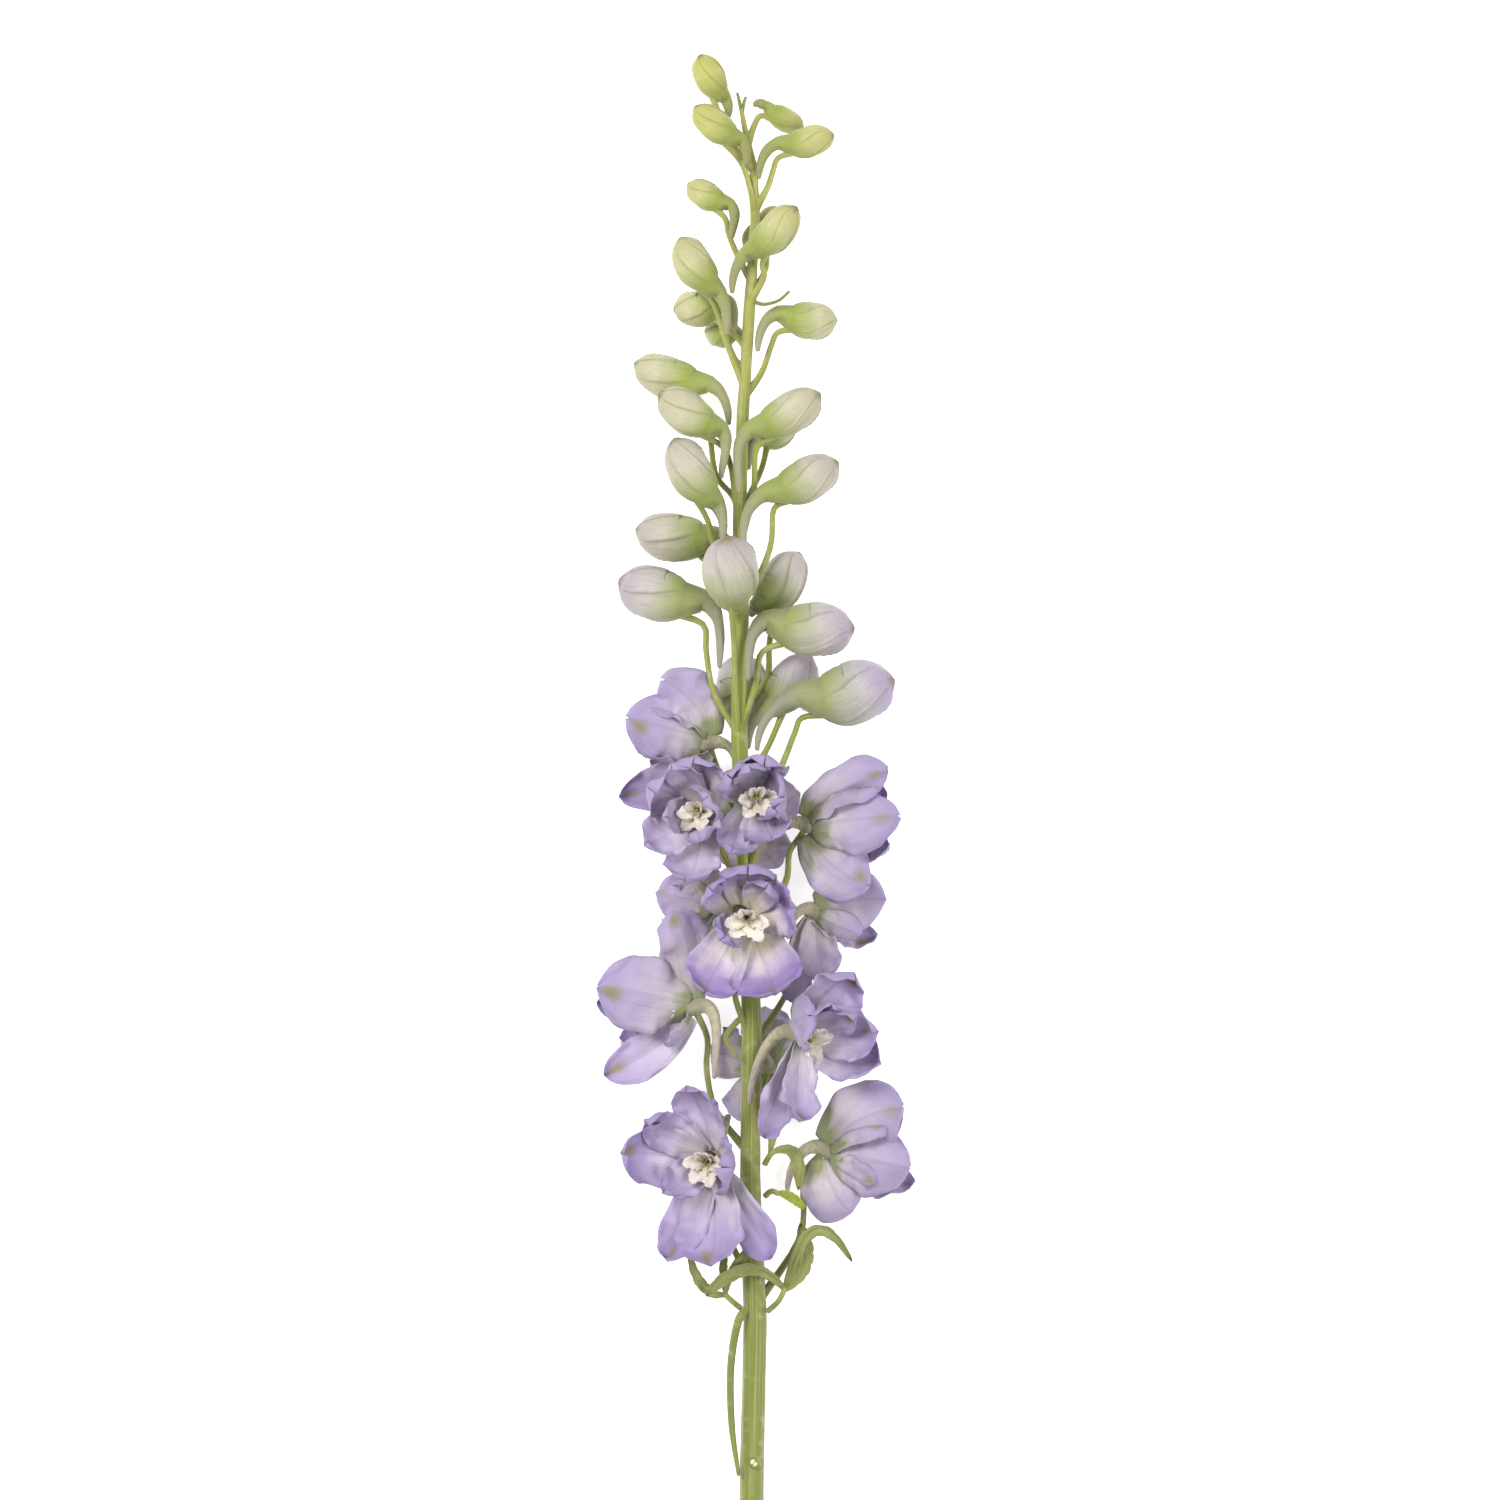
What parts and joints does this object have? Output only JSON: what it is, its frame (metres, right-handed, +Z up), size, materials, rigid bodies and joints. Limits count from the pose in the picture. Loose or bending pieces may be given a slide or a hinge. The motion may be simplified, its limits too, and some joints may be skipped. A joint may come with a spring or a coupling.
{
  "type": "delphinium flower spike",
  "caption": "Cut delphinium spike lying down: a slender stem with pale spurred buds toward the tip, open lavender blooms with cream centres lower down and small cut leaves.",
  "frame": {"origin": "centre of the footprint on the surface on which the cut stem lies", "axes": "+Y along the stem towards the tip of the spike, +Z up off the surface, +X to the right when seen from above with the tip pointing away"},
  "size_m": [0.0906, 0.4576, 0.0464],
  "materials": {
    "stem": "satin",
    "bud": "matte",
    "sepal": "matte",
    "bee": "matte",
    "leaf": "matte"
  },
  "bodies": {
    "root": {"stem": "stem", "bud_01": "bud", "bud_02": "bud", "bud_03": "bud", "bud_04": "bud", "bud_05": "bud", "bud_06": "bud", "bud_07": "bud", "bud_08": "bud", "bud_09": "bud", "bud_10": "bud", "bud_11": "bud", "bud_12": "bud", "bud_13": "bud", "bud_14": "bud", "bud_15": "bud", "bud_16": "bud", "bud_17": "bud", "bud_18": "bud", "bud_19": "bud", "bud_20": "bud", "bud_21": "bud", "bud_22": "bud", "bud_23": "bud", "bud_24": "bud", "bud_25": "bud", "bloom_01_sepals": "sepal", "bloom_01_bee": "bee", "bloom_02_sepals": "sepal", "bloom_02_bee": "bee", "bloom_03_sepals": "sepal", "bloom_03_bee": "bee", "bloom_04_sepals": "sepal", "bloom_04_bee": "bee", "bloom_05_sepals": "sepal", "bloom_05_bee": "bee", "bloom_06_sepals": "sepal", "bloom_06_bee": "bee", "bloom_07_sepals": "sepal", "bloom_07_bee": "bee", "bloom_08_sepals": "sepal", "bloom_08_bee": "bee", "bloom_09_sepals": "sepal", "bloom_09_bee": "bee", "bloom_10_sepals": "sepal", "bloom_10_bee": "bee", "bloom_11_sepals": "sepal", "bloom_11_bee": "bee", "bloom_12_sepals": "sepal", "bloom_12_bee": "bee", "bloom_13_sepals": "sepal", "bloom_13_bee": "bee", "leaf_left": "leaf", "leaf_right": "leaf", "leaf_middle": "leaf", "leaf_small": "leaf"}
  },
  "joints": []
}
